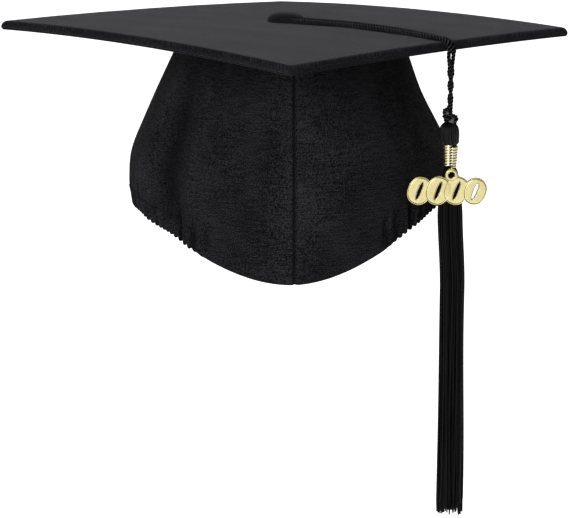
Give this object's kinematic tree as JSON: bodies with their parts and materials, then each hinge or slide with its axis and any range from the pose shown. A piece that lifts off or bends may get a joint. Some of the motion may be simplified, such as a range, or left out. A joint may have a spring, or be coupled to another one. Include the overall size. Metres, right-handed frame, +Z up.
{
  "type": "graduation cap",
  "caption": "Square cloth-covered mortarboard on a soft two-panel skullcap with a gathered elastic hem, a covered button and a swinging tassel with a numeral charm.",
  "frame": {"origin": "centre of the crown lining's lower face, where the top of the wearer's head touches the cap", "axes": "+Z up, -Y towards the front corner over the forehead, +X to the right seen from the front"},
  "size_m": [0.34, 0.34, 0.29],
  "materials": {
    "board_cloth": "matt black woven polyester over a stiff card",
    "card": "plain grey-brown board",
    "thread": "black sewing thread",
    "button_cloth": "matt black woven cover",
    "steel": "plain zinc-plated steel",
    "cap_cloth": "matt black woven polyester",
    "lining_cloth": "thin black lining",
    "stiffener": "stiff bonded interlining",
    "elastic": "ribbed woven elastic",
    "cord": "black twisted rayon cord with a soft sheen",
    "fringe": "black rayon strands",
    "coil_wire": "pale gold bullion wire",
    "charm": "bright pale gold plating"
  },
  "bodies": {
    "cap": {"board_card": "card", "board_top_cover": "board_cloth", "board_under_cover": "board_cloth", "edge_seam_thread": "thread", "button_cloth": "button_cloth", "button_shell": "steel", "button_back": "steel", "button_rivet": "steel", "push_nut": "steel", "skullcap_panel_left": "cap_cloth", "skullcap_panel_right": "cap_cloth", "front_stiffener": "stiffener", "front_facing": "cap_cloth", "front_hem_stitches": "thread", "crown_lining": "lining_cloth", "crown_binding": "lining_cloth", "crown_stitches": "thread"},
    "elastic_hem": {"elastic_casing": "cap_cloth", "elastic_band": "elastic", "casing_stitches": "thread"},
    "top_cord": {"cord_on_board": "cord"},
    "hanging_cord": {"cord_drop": "cord"},
    "knot": {"cord_knot": "cord"},
    "tassel": {"tassel_head": "fringe", "tassel_neck": "fringe", "neck_coil": "coil_wire", "fringe_core": "fringe", "fringe_strands": "fringe", "jump_ring": "charm"},
    "charm": {"numeral_charm": "charm"}
  },
  "joints": [
    {"name": "cord_swivel", "type": "hinge", "parent": "cap", "child": "top_cord", "pos_m": [0, 0, 0.0092], "axis": [0, 0, 1], "range_deg": [-12.5, 5.5]},
    {"name": "cord_fold", "type": "hinge", "parent": "top_cord", "child": "hanging_cord", "pos_m": [0.09332, -0.08256, 0.0015], "axis": [-0.6626, -0.749, 0], "range_deg": [0, 80]},
    {"name": "tassel_sway", "type": "hinge", "parent": "hanging_cord", "child": "knot", "pos_m": [0.09332, -0.08256, -0.0343], "axis": [0.749, -0.6626, 0], "range_deg": [-30, 30]},
    {"name": "tassel_twist", "type": "hinge", "parent": "knot", "child": "tassel", "pos_m": [0.09332, -0.08256, -0.0421], "axis": [0, 0, 1], "range_deg": [-14, 120]},
    {"name": "charm_swing", "type": "hinge", "parent": "tassel", "child": "charm", "pos_m": [0.09332, -0.08851, -0.0678], "axis": [-1, 0, 0], "range_deg": [0, 40]},
    {"name": "elastic_stretch", "type": "slide", "parent": "cap", "child": "elastic_hem", "axis": [0, 0.97, -0.2431], "range_m": [0, 0.015], "stiffness_N_per_m": 300}
  ]
}
